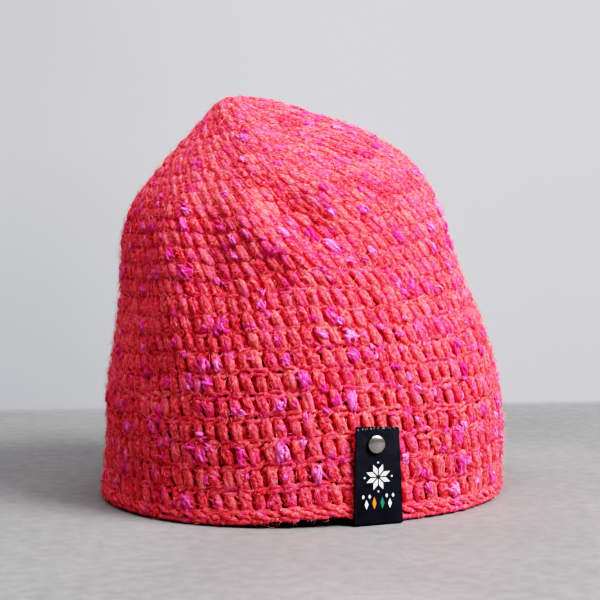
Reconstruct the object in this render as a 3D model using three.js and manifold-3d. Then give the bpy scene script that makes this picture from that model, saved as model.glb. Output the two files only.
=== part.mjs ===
// A crocheted wool beanie that stands on its rim: a hollow crochet shell with a leaning crown, an
// edging round along the rim, a fleece lining band inside, and a folded tab riveted through the wall.
// Millimetres, +Z up, front towards -Y, the origin on the ground under the middle of the hat.

import * as THREE from 'three';
import * as BufferGeometryUtils from 'three/addons/utils/BufferGeometryUtils.js';
import Module from 'manifold-3d';

const wasm = await Module();
wasm.setup();

// Driving dimensions of the knitwear
const rimRadius = 90;
const hatHeight = 176;
const wallThickness = 5;
const edgingHeight = 5.5;
const edgingBulge = 0.4;
const liningThickness = 2;
const liningHeight = 74;
const fitGap = 0.35;

// How far the rim stands off the ground, in general and where it arches beside the tab
const rimLift = 0.4;
const rimArch = 2.9;
const rimArchAngle = 8;
const rimArchSpread = 15;

// Driving dimensions of the tab and its rivet
const tabAngle = 19.5;
const tabTopWidth = 18.5;
const tabFoldWidth = 21.2;
const tabHeight = 40;
const tabTopSlant = 3.5;
const tabThickness = 1.1;
const rivetDrop = 6.9;
const rivetOffset = -0.8;
const capDiameter = 7.6;
const capHeight = 1.7;
const capBoreDepth = 1;
const shaftDiameter = 2.4;
const baseDiameter = 6.8;
const baseThickness = 1;

// How finely the solids are faceted
const aroundCount = 64;
const outerLevels = 40;
const innerLevels = 16;
const liningLevels = 5;
const edgingSides = 8;
const roundSides = 24;
const holeSides = 12;

// How finely curves are walked when their lengths and directions are worked out
const meridianSteps = 240;
const slopeStep = 0.004;
const wallSamples = 10;
const sideMargin = 1.2;

// The hem clears the tab's fold up to the first of these shares of half its width, and rests from the second
const hemClearShare = 1.8;
const hemRestShare = 3;

// Level sections from the rim to the crown point. Heights are shares of hatHeight, and the reach to each
// side is a share of rimRadius.
const sections = [
  { height: 0.000, left: 0.988, right: 0.955, front: 0.968, back: 0.960 },
  { height: 0.034, left: 1.006, right: 0.968, front: 0.982, back: 0.972 },
  { height: 0.138, left: 0.982, right: 0.980, front: 0.980, back: 0.970 },
  { height: 0.276, left: 0.974, right: 0.962, front: 0.960, back: 0.955 },
  { height: 0.414, left: 0.930, right: 0.894, front: 0.915, back: 0.925 },
  { height: 0.529, left: 0.902, right: 0.798, front: 0.860, back: 0.880 },
  { height: 0.644, left: 0.892, right: 0.722, front: 0.790, back: 0.822 },
  { height: 0.736, left: 0.834, right: 0.666, front: 0.705, back: 0.740 },
  { height: 0.816, left: 0.712, right: 0.568, front: 0.592, back: 0.612 },
  { height: 0.874, left: 0.612, right: 0.436, front: 0.472, back: 0.494 },
  { height: 0.920, left: 0.522, right: 0.268, front: 0.345, back: 0.368 },
  { height: 0.954, left: 0.468, right: 0.068, front: 0.240, back: 0.268 },
  { height: 0.980, left: 0.420, right: -0.078, front: 0.134, back: 0.168 },
  { height: 0.995, left: 0.348, right: -0.185, front: 0.055, back: 0.090 },
  { height: 1.000, left: 0.256, right: -0.256, front: -0.017, back: 0.017 },
];

// Dents and folds of the cloth. The angle is in degrees from the front, to the right; the height is a share
// of hatHeight; along, across and depth are shares of rimRadius. The slope turns the long side from
// upright, in degrees to the right at its top, and a depth below nothing is a fold that stands out.
const folds = [
  { name: 'crown dimple', angle: 3, height: 0.712, along: 0.130, across: 0.066, slope: -54, depth: 0.084 },
  { name: 'dimple lip', angle: -3, height: 0.668, along: 0.170, across: 0.072, slope: -56, depth: -0.044 },
  { name: 'peak ridge', angle: -13, height: 0.830, along: 0.210, across: 0.080, slope: -12, depth: -0.036 },
  { name: 'left drape', angle: -21, height: 0.565, along: 0.140, across: 0.052, slope: -8, depth: 0.040 },
  { name: 'middle drape', angle: -7, height: 0.570, along: 0.130, across: 0.042, slope: -4, depth: 0.036 },
  { name: 'left corner', angle: -40, height: 0.640, along: 0.310, across: 0.085, slope: 4, depth: -0.040 },
  { name: 'left hollow', angle: -60, height: 0.600, along: 0.210, across: 0.110, slope: 0, depth: 0.034 },
  { name: 'top groove', angle: 4, height: 0.925, along: 0.090, across: 0.045, slope: 0, depth: 0.020 },
  { name: 'crown valley', angle: 24, height: 0.850, along: 0.120, across: 0.070, slope: -20, depth: 0.024 },
  { name: 'right swell', angle: 62, height: 0.640, along: 0.170, across: 0.110, slope: -10, depth: -0.022 },
  { name: 'low left hollow', angle: -46, height: 0.330, along: 0.110, across: 0.100, slope: 0, depth: 0.018 },
  { name: 'front flat', angle: 26, height: 0.050, along: 0.420, across: 0.240, slope: 0, depth: 0.030 },
  { name: 'back slouch', angle: 168, height: 0.660, along: 0.130, across: 0.240, slope: 0, depth: 0.048 },
  { name: 'back fold', angle: 160, height: 0.545, along: 0.080, across: 0.260, slope: 0, depth: -0.026 },
  { name: 'back left drape', angle: -128, height: 0.560, along: 0.230, across: 0.080, slope: 6, depth: 0.034 },
];

const knitRed = 0xd8344f;
const edgingRed = 0xcf2f49;
const fleeceDark = 0x2a1a20;
const strapBlack = 0x14151d;
const rivetNickel = 0xa39c96;

// The rivet cap's domed outline, as shares of its radius and height
const capProfile = [
  { reach: 0.94, rise: 0 },
  { reach: 1, rise: 0.25 },
  { reach: 0.93, rise: 0.6 },
  { reach: 0.7, rise: 0.88 },
  { reach: 0.35, rise: 0.98 },
  { reach: 0, rise: 1 },
];

const toRadians = THREE.MathUtils.degToRad;

// The turn from a direction in degrees to an angle, the short way round
function turnFrom(degrees, angle) {
  const turn = angle - toRadians(degrees);
  return Math.atan2(Math.sin(turn), Math.cos(turn));
}

function blend(a, b, c, d, t) {
  const slopeIn = (c - a) / 2;
  const slopeOut = (d - b) / 2;
  const t2 = t * t;
  const t3 = t2 * t;
  const level = (2 * t3 - 3 * t2 + 1) * b + (3 * t2 - 2 * t3) * c;
  return level + (t3 - 2 * t2 + t) * slopeIn + (t3 - t2) * slopeOut;
}

// The section at a place along the table, from 0 at its first row to 1 at its last
function sectionAt(place) {
  const last = sections.length - 1;
  const row = Math.min(Math.floor(place * last), last - 1);
  const t = place * last - row;
  const near = [row - 1, row, row + 1, row + 2].map((i) => sections[THREE.MathUtils.clamp(i, 0, last)]);
  const value = (column) => blend(...near.map((section) => section[column]), t);
  return {
    z: value('height') * hatHeight,
    left: value('left') * rimRadius,
    right: value('right') * rimRadius,
    front: value('front') * rimRadius,
    back: value('back') * rimRadius,
  };
}

function smoothPoint(angle, place) {
  const section = sectionAt(place);
  const halfWidth = (section.right + section.left) / 2;
  const halfDepth = (section.back + section.front) / 2;
  return new THREE.Vector3(
    (section.right - section.left) / 2 + halfWidth * Math.sin(angle),
    (section.back - section.front) / 2 - halfDepth * Math.cos(angle),
    section.z,
  );
}

function foldDepth(angle, place) {
  const section = sectionAt(place);
  const girth = (section.right + section.left + section.back + section.front) / 4;
  let depth = 0;
  for (const fold of folds) {
    const side = turnFrom(fold.angle, angle) * girth;
    const rise = section.z - fold.height * hatHeight;
    const slope = toRadians(fold.slope);
    const along = (rise * Math.cos(slope) + side * Math.sin(slope)) / (fold.along * rimRadius);
    const across = (side * Math.cos(slope) - rise * Math.sin(slope)) / (fold.across * rimRadius);
    depth += fold.depth * rimRadius * Math.exp(-(along * along + across * across) / 2);
  }
  return depth;
}

// The outward direction of a surface given as a function of the angle and the place
function normalOf(surface, angle, place) {
  const low = Math.max(place - slopeStep, 0);
  const high = Math.min(place + slopeStep, 1 - slopeStep);
  const around = surface(angle + slopeStep, high).sub(surface(angle - slopeStep, high));
  const up = surface(angle, high).sub(surface(angle, low));
  return around.cross(up).normalize();
}

function foldedPoint(angle, place) {
  const point = smoothPoint(angle, place);
  return point.addScaledVector(normalOf(smoothPoint, angle, place), -foldDepth(angle, place));
}

// One meridian of the hat, walked by the length of cloth from the rim
function meridianAt(angle) {
  const lengths = [0];
  let previous = smoothPoint(angle, 0);
  for (let i = 1; i <= meridianSteps; i += 1) {
    const point = smoothPoint(angle, i / meridianSteps);
    lengths.push(lengths[i - 1] + point.distanceTo(previous));
    previous = point;
  }
  const placeOf = (length) => {
    let i = 1;
    while (i < meridianSteps && lengths[i] < length) i += 1;
    const share = (length - lengths[i - 1]) / (lengths[i] - lengths[i - 1]);
    return (i - 1 + Math.max(share, 0)) / meridianSteps;
  };
  return { angle, total: lengths[meridianSteps], placeOf };
}

// A point at a length of cloth up a meridian and a depth into the wall
function clothPoint(meridian, length, depth) {
  const place = Math.min(meridian.placeOf(length), 1 - 1e-6);
  const point = foldedPoint(meridian.angle, place);
  return point.addScaledVector(normalOf(foldedPoint, meridian.angle, place), -depth);
}

const meridians = Array.from({ length: aroundCount }, (_, i) => meridianAt((i / aroundCount) * 2 * Math.PI));

// The crown point, where all the meridians meet, at a depth into the wall
function crownPoint(depth) {
  const section = sectionAt(1);
  const middle = meridians.map((meridian) => foldedPoint(meridian.angle, 1 - 1e-6).z);
  const z = middle.reduce((sum, value) => sum + value, 0) / middle.length;
  return new THREE.Vector3((section.right - section.left) / 2, (section.back - section.front) / 2, z - depth);
}

// Half the turn that the tab takes up on the rim
const halfTabTurn = Math.asin(tabFoldWidth / 2 / rimRadius);

// How far the rim's lower edge is off the ground at an angle
function liftAt(angle) {
  const share = turnFrom(rimArchAngle, angle) / toRadians(rimArchSpread);
  return rimLift + rimArch * Math.exp(-(share * share) / 2);
}

// How far the lining's hem is off the ground: it clears the fold of the tab and rests everywhere else
function hemLiftAt(angle) {
  const turn = Math.abs(turnFrom(tabAngle, angle));
  const clear = 1 - THREE.MathUtils.smoothstep(turn, halfTabTurn * hemClearShare, halfTabTurn * hemRestShare);
  return (tabThickness + fitGap) * clear;
}

// A closed solid from rows of points, each row joined to the next, its ends closed by a point or a loop
function solidFromRows(rows, { loops = false, start = null, end = null } = {}) {
  const count = rows[0].length;
  const positions = rows.flat().flatMap((point) => point.toArray());
  const index = [];
  const at = (row, i) => row * count + (i % count);
  const bands = loops ? rows.length : rows.length - 1;
  for (let row = 0; row < bands; row += 1) {
    const next = (row + 1) % rows.length;
    for (let i = 0; i < count; i += 1) {
      index.push(at(row, i), at(row, i + 1), at(next, i));
      index.push(at(row, i + 1), at(next, i + 1), at(next, i));
    }
  }
  if (start) {
    positions.push(...start.toArray());
    const tip = positions.length / 3 - 1;
    for (let i = 0; i < count; i += 1) index.push(tip, at(0, i + 1), at(0, i));
  }
  if (end) {
    positions.push(...end.toArray());
    const tip = positions.length / 3 - 1;
    for (let i = 0; i < count; i += 1) index.push(at(rows.length - 1, i), at(rows.length - 1, i + 1), tip);
  }
  const geometry = new THREE.BufferGeometry();
  geometry.setAttribute('position', new THREE.Float32BufferAttribute(positions, 3));
  geometry.setIndex(index);
  return geometry;
}

// The depth of each layer of the wall below the outer face of the crochet
const liningDepth = wallThickness + fitGap;
const shellFoot = edgingHeight + fitGap;

function shellGeometry() {
  const rowsAt = (levels, depth) => {
    const rows = [];
    for (let level = 0; level < levels; level += 1) {
      rows.push(meridians.map((meridian) => {
        const foot = liftAt(meridian.angle) + shellFoot;
        const point = clothPoint(meridian, foot + (meridian.total - foot) * (level / levels), depth);
        if (level === 0) point.z = foot;
        return point;
      }));
    }
    return rows;
  };
  const outside = rowsAt(outerLevels, 0);
  const inside = rowsAt(innerLevels, wallThickness);
  return solidFromRows([...inside.reverse(), ...outside], {
    start: crownPoint(wallThickness),
    end: crownPoint(0),
  });
}

function edgingGeometry() {
  const halfWall = wallThickness / 2;
  const halfHeight = edgingHeight / 2;
  const rows = [];
  for (let side = 0; side < edgingSides; side += 1) {
    const turn = ((side + 0.5) / edgingSides) * 2 * Math.PI;
    const out = Math.cos(turn) / Math.cos(Math.PI / edgingSides);
    const up = Math.sin(turn) / Math.cos(Math.PI / edgingSides);
    const depth = halfWall - out * (out > 0 ? halfWall + edgingBulge : halfWall);
    rows.push(meridians.map((meridian) => {
      const point = clothPoint(meridian, shellFoot, depth);
      point.z = liftAt(meridian.angle) + halfHeight + up * halfHeight;
      return point;
    }));
  }
  return solidFromRows(rows, { loops: true });
}

function liningGeometry() {
  const rows = [];
  const addSide = (depth, levels) => {
    for (const level of levels) {
      rows.push(meridians.map((meridian) => {
        const foot = hemLiftAt(meridian.angle);
        const point = clothPoint(meridian, foot + (liningHeight - foot) * (level / liningLevels), depth);
        if (level === 0) point.z = foot;
        return point;
      }));
    }
  };
  const levels = Array.from({ length: liningLevels + 1 }, (_, i) => i);
  addSide(liningDepth, levels);
  addSide(liningDepth + liningThickness, levels.reverse());
  return solidFromRows(rows, { loops: true });
}

// The tab's own directions: out through the wall at its angle, and across it
const tabOut = new THREE.Vector3(Math.sin(toRadians(tabAngle)), -Math.cos(toRadians(tabAngle)), 0);
const tabAcross = new THREE.Vector3(Math.cos(toRadians(tabAngle)), Math.sin(toRadians(tabAngle)), 0);

// How far a layer of the wall reaches out under the tab at a height: the most of its outer face, or the
// least of its inner one
function wallReach(z, depth, pick) {
  const reaches = [];
  for (let i = 0; i <= wallSamples; i += 1) {
    const share = (2 * i) / wallSamples - 1;
    const meridian = meridianAt(toRadians(tabAngle) + share * halfTabTurn * sideMargin);
    reaches.push(clothPoint(meridian, z, depth).dot(tabOut));
  }
  return pick(...reaches);
}

// A straight leg of the tab along the wall, as its reach out at any height
function legAlong(depth, pick, gap) {
  const low = edgingHeight + rimLift;
  const high = tabHeight;
  const reachLow = wallReach(low, depth, pick);
  const reachHigh = wallReach(high, depth, pick);
  const lean = (reachHigh - reachLow) / (high - low);
  let shift = pick === Math.max ? -Infinity : Infinity;
  for (let i = 0; i <= wallSamples; i += 1) {
    const z = (i / wallSamples) * high;
    shift = pick(shift, wallReach(z, depth, pick) - (reachLow + lean * (z - low)));
  }
  return (z) => reachLow + lean * (z - low) + shift + gap;
}

const outerLeg = legAlong(-edgingBulge, Math.max, fitGap);
const innerLeg = legAlong(liningDepth + liningThickness, Math.min, -fitGap);
const legLean = Math.atan2(outerLeg(0) - outerLeg(tabHeight), tabHeight);

// Narrows the strap towards its ends and cuts them a little out of square
function taperTab(geometry) {
  const position = geometry.attributes.position;
  for (let i = 0; i < position.count; i += 1) {
    const share = position.getY(i) / tabHeight;
    const across = position.getZ(i) * THREE.MathUtils.lerp(1, tabTopWidth / tabFoldWidth, share);
    position.setZ(i, across);
    if (share > 0.99) position.setY(i, tabHeight + across * Math.tan(toRadians(tabTopSlant)));
  }
}

function tabGeometry() {
  const bend = tabThickness;
  const innerFoot = innerLeg(bend);
  const outerFoot = outerLeg(bend);
  const outline = new THREE.Shape();
  outline.moveTo(outerLeg(tabHeight), tabHeight);
  outline.lineTo(outerFoot, bend);
  outline.lineTo(innerFoot, bend);
  outline.lineTo(innerLeg(tabHeight), tabHeight);
  outline.lineTo(innerLeg(tabHeight) - tabThickness, tabHeight);
  outline.lineTo(innerFoot - tabThickness, bend);
  outline.quadraticCurveTo(innerFoot - tabThickness, 0, innerFoot, 0);
  outline.lineTo(outerFoot, 0);
  outline.quadraticCurveTo(outerFoot + tabThickness, 0, outerFoot + tabThickness, bend);
  outline.lineTo(outerLeg(tabHeight) + tabThickness, tabHeight);
  outline.closePath();
  const settings = { depth: tabFoldWidth, bevelEnabled: false, curveSegments: 5 };
  const geometry = new THREE.ExtrudeGeometry(outline, settings);
  geometry.translate(0, 0, -tabFoldWidth / 2);
  taperTab(geometry);
  const frame = new THREE.Matrix4().makeBasis(tabOut, new THREE.Vector3(0, 0, 1), tabAcross.clone().negate());
  geometry.applyMatrix4(frame);
  return geometry;
}

// The rivet's axis: square to the front leg of the tab, a set drop below its top
const rivetHeight = tabHeight - rivetDrop;
const rivetRise = new THREE.Vector3(0, 0, Math.sin(legLean));
const rivetOut = tabOut.clone().multiplyScalar(Math.cos(legLean)).add(rivetRise);
const rivetSeat = tabOut.clone().multiplyScalar(outerLeg(rivetHeight) + tabThickness);
rivetSeat.addScaledVector(tabAcross, rivetOffset);
rivetSeat.z = rivetHeight;
const gripLength = (outerLeg(rivetHeight) - innerLeg(rivetHeight)) * Math.cos(legLean) + 2 * tabThickness;

// Turns a shape made along +Z from the tab's front face so that it lies on the rivet's axis
function onRivetAxis(geometry) {
  const turn = new THREE.Quaternion().setFromUnitVectors(new THREE.Vector3(0, 0, 1), rivetOut);
  geometry.applyQuaternion(turn);
  geometry.translate(rivetSeat.x, rivetSeat.y, rivetSeat.z);
  return geometry;
}

function latheAlong(profile) {
  const points = profile.map(([radius, along]) => new THREE.Vector2(radius, along));
  const geometry = new THREE.LatheGeometry(points, roundSides);
  geometry.rotateX(Math.PI / 2);
  return geometry;
}

function capGeometry() {
  const radius = capDiameter / 2;
  const bore = shaftDiameter / 2 + fitGap;
  const foot = fitGap;
  const profile = [[0, foot + capBoreDepth], [bore, foot + capBoreDepth], [bore, foot]];
  for (const { reach, rise } of capProfile) profile.push([radius * reach, foot + capHeight * rise]);
  return onRivetAxis(latheAlong(profile));
}

function postGeometry() {
  const back = -(gripLength + fitGap);
  const radius = baseDiameter / 2;
  const shaft = shaftDiameter / 2;
  const tip = capBoreDepth;
  const round = shaft / 4;
  const profile = [[0, back - baseThickness], [radius - round, back - baseThickness]];
  profile.push([radius, back - baseThickness + round], [radius, back], [shaft, back], [shaft, tip - round]);
  profile.push([shaft - round, tip], [0, tip]);
  return onRivetAxis(latheAlong(profile));
}

function toSolid(geometry) {
  const bare = geometry.clone();
  bare.deleteAttribute('normal');
  bare.deleteAttribute('uv');
  const merged = BufferGeometryUtils.mergeVertices(bare, 1e-4);
  return new wasm.Manifold(new wasm.Mesh({
    numProp: 3,
    vertProperties: Float32Array.from(merged.attributes.position.array),
    triVerts: Uint32Array.from(merged.index.array),
  }));
}

function fromSolid(solid) {
  const mesh = solid.getMesh();
  const geometry = new THREE.BufferGeometry();
  geometry.setAttribute('position', new THREE.Float32BufferAttribute(Array.from(mesh.vertProperties), 3));
  geometry.setIndex(Array.from(mesh.triVerts));
  return geometry;
}

// The hole that the rivet's shaft passes through, with clearance all round
function withRivetHole(geometry) {
  const length = gripLength * 3;
  const radius = shaftDiameter / 2 + fitGap;
  const hole = new THREE.CylinderGeometry(radius, radius, length, holeSides);
  hole.rotateX(Math.PI / 2);
  hole.translate(0, 0, -gripLength / 2);
  return fromSolid(toSolid(geometry).subtract(toSolid(onRivetAxis(hole))));
}

const hat = new THREE.Group();

function addPiece(name, geometry, color, roughness, metalness = 0) {
  const flat = geometry.index ? geometry.toNonIndexed() : geometry;
  flat.computeVertexNormals();
  const mesh = new THREE.Mesh(flat, new THREE.MeshStandardMaterial({ color, roughness, metalness }));
  mesh.name = name;
  hat.add(mesh);
}

addPiece('crochet_shell', withRivetHole(shellGeometry()), knitRed, 0.95);
addPiece('rim_edging', edgingGeometry(), edgingRed, 0.95);
addPiece('fleece_lining', withRivetHole(liningGeometry()), fleeceDark, 1);
addPiece('label_tab', withRivetHole(tabGeometry()), strapBlack, 0.55);
addPiece('rivet_cap', capGeometry(), rivetNickel, 0.35, 1);
addPiece('rivet_post', postGeometry(), rivetNickel, 0.4, 1);

// The whole is moved so that the origin is under the middle of its extent
const extent = new THREE.Box3().setFromObject(hat);
const middle = extent.getCenter(new THREE.Vector3());
hat.position.set(-middle.x, -middle.y, -extent.min.z);

export default hat;
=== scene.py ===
import math

import bpy
import numpy as np
from mathutils import Matrix, Vector
from mathutils.bvhtree import BVHTree


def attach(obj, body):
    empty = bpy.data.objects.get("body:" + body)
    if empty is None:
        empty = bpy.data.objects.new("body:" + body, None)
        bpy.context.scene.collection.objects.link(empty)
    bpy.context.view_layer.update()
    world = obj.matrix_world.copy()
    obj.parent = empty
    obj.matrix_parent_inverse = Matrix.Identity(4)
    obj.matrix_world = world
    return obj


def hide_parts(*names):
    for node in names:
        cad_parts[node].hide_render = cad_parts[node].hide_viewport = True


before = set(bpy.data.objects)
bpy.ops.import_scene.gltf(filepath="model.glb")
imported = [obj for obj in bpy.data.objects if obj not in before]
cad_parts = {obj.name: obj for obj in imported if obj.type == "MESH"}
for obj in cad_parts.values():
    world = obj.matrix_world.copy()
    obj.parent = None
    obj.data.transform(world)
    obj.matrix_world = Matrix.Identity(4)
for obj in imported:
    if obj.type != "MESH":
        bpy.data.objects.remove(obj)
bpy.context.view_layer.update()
mm = 0.001
fullTurn = 2 * np.pi
speck = 1e-12  # added to a length before dividing by it, so that nothing is divided by zero
dice = np.random.default_rng(41)


# small helpers

def report(stage):
    print("beanie:", stage, flush=True)


def linearColour(code, share=1.0):
    parts = [int(code[i:i + 2], 16) / 255 for i in (1, 3, 5)]
    linear = [p / 12.92 if p <= 0.04045 else ((p + 0.055) / 1.055) ** 2.4 for p in parts]
    return [share * value for value in linear] + [1.0]


def perMetre(grain):
    # a pattern's scale, from the real size of its grain in mm
    return 1 / (grain * mm)


def unit(vectors):
    return vectors / (np.linalg.norm(vectors, axis=-1, keepdims=True) + speck)


def turnApart(turns, turn):
    return np.abs(np.angle(np.exp(1j * (turns - turn))))


def addNode(tree, kind, inputs=None, **settings):
    node = tree.nodes.new(kind)
    for name, value in settings.items():
        setattr(node, name, value)
    for socket, value in (inputs or {}).items():
        if isinstance(value, tuple) and isinstance(value[0], bpy.types.Node):
            tree.links.new(value[0].outputs[value[1]], node.inputs[socket])
        else:
            node.inputs[socket].default_value = value
    return node


def newMaterial(name):
    material = bpy.data.materials.new(name)
    material.use_nodes = True
    tree = material.node_tree
    tree.nodes.clear()
    return material, tree


def setRamp(node, stops):
    ramp = node.color_ramp
    while len(ramp.elements) > 1:
        ramp.elements.remove(ramp.elements[-1])
    ramp.elements[0].position = stops[0][0]
    ramp.elements[0].color = stops[0][1]
    for place, colour in stops[1:]:
        ramp.elements.new(place).color = colour


def mottledMaterial(name, grain, detail, stops, finish, bump=None, rub=None):
    # a finish whose colour, relief and rubbed gloss all follow one fine mottle: grain is its size in mm,
    # bump its strength and depth in mm, and rub the roughness at the mottle's low and high places
    material, tree = newMaterial(name)
    place = addNode(tree, "ShaderNodeTexCoord")
    mottle = addNode(tree, "ShaderNodeTexNoise", {
        "Vector": (place, "Object"), "Scale": perMetre(grain), "Detail": detail,
    })
    ramp = addNode(tree, "ShaderNodeValToRGB", {0: (mottle, "Fac")})
    setRamp(ramp, stops)
    inputs = {"Base Color": (ramp, 0), **finish}
    if bump:
        relief = addNode(tree, "ShaderNodeBump", {
            "Height": (mottle, "Fac"), "Strength": bump[0], "Distance": bump[1] * mm,
        })
        inputs["Normal"] = (relief, 0)
    if rub:
        rubbed = addNode(tree, "ShaderNodeMapRange", {
            "Value": (mottle, "Fac"), "From Min": 0.3, "From Max": 0.7, "To Min": rub[0], "To Max": rub[1],
        })
        inputs["Roughness"] = (rubbed, 0)
    shader = addNode(tree, "ShaderNodeBsdfPrincipled", inputs)
    addNode(tree, "ShaderNodeOutputMaterial", {"Surface": (shader, 0)})
    return material


def meshPiece(name, points, faces, material, smooth=True):
    mesh = bpy.data.meshes.new(name)
    mesh.from_pydata(points, [], faces)
    mesh.update()
    piece = bpy.data.objects.new(name, mesh)
    bpy.context.scene.collection.objects.link(piece)
    mesh.materials.append(material)
    if smooth:
        mesh.polygons.foreach_set("use_smooth", np.ones(len(mesh.polygons), bool))
    return piece


def makeActive(piece):
    bpy.ops.object.select_all(action="DESELECT")
    piece.select_set(True)
    bpy.context.view_layer.objects.active = piece


def mergeDoubles(piece, reach):
    makeActive(piece)
    bpy.ops.object.mode_set(mode="EDIT")
    bpy.ops.mesh.select_all(action="SELECT")
    bpy.ops.mesh.remove_doubles(threshold=reach * mm)
    bpy.ops.object.mode_set(mode="OBJECT")


def turnOutwards(piece):
    makeActive(piece)
    bpy.ops.object.mode_set(mode="EDIT")
    bpy.ops.mesh.select_all(action="SELECT")
    bpy.ops.mesh.normals_make_consistent(inside=False)
    bpy.ops.object.mode_set(mode="OBJECT")


def mergedCopy(node, name):
    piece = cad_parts[node].copy()
    piece.data = piece.data.copy()
    piece.name = name
    piece.parent = None
    for key in list(piece.keys()):
        del piece[key]
    bpy.context.scene.collection.objects.link(piece)
    mergeDoubles(piece, 0.01)
    return piece


# camera, as the photo was taken: a short telephoto from just above the hat's middle

cameraPlace = {"lens": 113.0, "place": (0.0, -0.836, 0.155), "down": 4.79, "roll": -0.8}

cameraData = bpy.data.cameras.new("camera")
cameraData.lens = cameraPlace["lens"]
cameraData.sensor_width = 36
cameraData.clip_start = 0.05
camera = bpy.data.objects.new("camera", cameraData)
bpy.context.scene.collection.objects.link(camera)
tilt = Matrix.Rotation(math.radians(90 - cameraPlace["down"]), 4, "X")
camera.matrix_world = (Matrix.Translation(cameraPlace["place"]) @ tilt
                       @ Matrix.Rotation(math.radians(cameraPlace["roll"]), 4, "Z"))
bpy.context.scene.camera = camera


# stage: a pale concrete bench with a plain wall far behind it, in metres

stage = {
    "benchHalf": 1.6, "benchBack": 0.267, "benchSoftEdge": 0.03, "benchLevel": -0.0003,
    "benchColour": "#858586", "benchDark": "#767676", "cloud": 111, "grain": 6.25, "pore": 2.38,
    "wallTop": "#c3c2c7", "wallFoot": "#a4a6aa", "wallLight": 0.4, "wallMottle": 14.0,
}


def benchMaterial():
    # honed concrete: matt and pale, with a faint cloudy mottle and fine pores
    material, tree = newMaterial("honedConcrete")
    place = addNode(tree, "ShaderNodeTexCoord")
    cloud, grain, pore = [
        addNode(tree, "ShaderNodeTexNoise", {
            "Vector": (place, "Object"), "Scale": perMetre(stage[mark]), "Detail": detail,
        }) for mark, detail in (("cloud", 6.0), ("grain", 4.0), ("pore", 2.0))
    ]
    pores = addNode(tree, "ShaderNodeMapRange", {
        "Value": (pore, "Fac"), "From Min": 0.3, "From Max": 0.36, "To Min": -0.9, "To Max": 0.0,
    })
    clouded = addNode(tree, "ShaderNodeMath", {0: (cloud, "Fac"), 1: (grain, "Fac")}, operation="ADD")
    marked = addNode(tree, "ShaderNodeMath", {0: (clouded, 0), 1: (pores, 0)}, operation="ADD")
    tone = addNode(tree, "ShaderNodeMapRange", {"Value": (marked, 0), "From Min": 0.75, "From Max": 1.25})
    colour = addNode(tree, "ShaderNodeMix", {
        "Factor": (tone, 0), 6: linearColour(stage["benchDark"]), 7: linearColour(stage["benchColour"]),
    }, data_type="RGBA")
    bump = addNode(tree, "ShaderNodeBump", {"Height": (grain, "Fac"), "Strength": 0.15, "Distance": 0.4 * mm})
    shader = addNode(tree, "ShaderNodeBsdfPrincipled", {
        "Base Color": (colour, 2), "Roughness": 0.62, "Specular IOR Level": 0.3, "Normal": (bump, 0),
    })
    # the far edge melts into the wall, as it does out of focus
    split = addNode(tree, "ShaderNodeSeparateXYZ", {0: (place, "Object")})
    fade = addNode(tree, "ShaderNodeMapRange", {
        "Value": (split, 1), "From Min": stage["benchBack"] - stage["benchSoftEdge"] / 2,
        "From Max": stage["benchBack"] + stage["benchSoftEdge"] / 2,
    }, interpolation_type="SMOOTHSTEP")
    clear = addNode(tree, "ShaderNodeBsdfTransparent")
    blend = addNode(tree, "ShaderNodeMixShader", {0: (fade, 0), 1: (shader, 0), 2: (clear, 0)})
    addNode(tree, "ShaderNodeOutputMaterial", {"Surface": (blend, 0)})
    return material


def makeBench():
    half = stage["benchHalf"]
    back = stage["benchBack"] + stage["benchSoftEdge"]
    corners = [(-half, -half, 0), (half, -half, 0), (half, back, 0), (-half, back, 0)]
    bench = meshPiece("bench", corners, [(0, 1, 2, 3)], benchMaterial(), smooth=False)
    bench.location.z = stage["benchLevel"]
    return bench


bench = makeBench()

# the print's contrast: a soft toe and shoulder, as a camera gives
toneCurve = [(0.0, 0.0), (0.012, 0.002), (0.03, 0.0105), (0.06, 0.038), (0.12, 0.123), (0.3, 0.405),
             (0.6, 0.735), (0.95, 0.895), (1.5, 0.965), (2.5, 1.0)]
look = bpy.context.scene.view_settings
look.view_transform = "Standard"
look.use_curve_mapping = True
look.curve_mapping.clip_max_x = toneCurve[-1][0]
look.curve_mapping.use_clip = True
curve = look.curve_mapping.curves[3]
curve.points[0].location = toneCurve[0]
curve.points[1].location = toneCurve[-1]
for dark, bright in toneCurve[1:-1]:
    curve.points.new(dark, bright)
look.curve_mapping.update()


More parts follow.
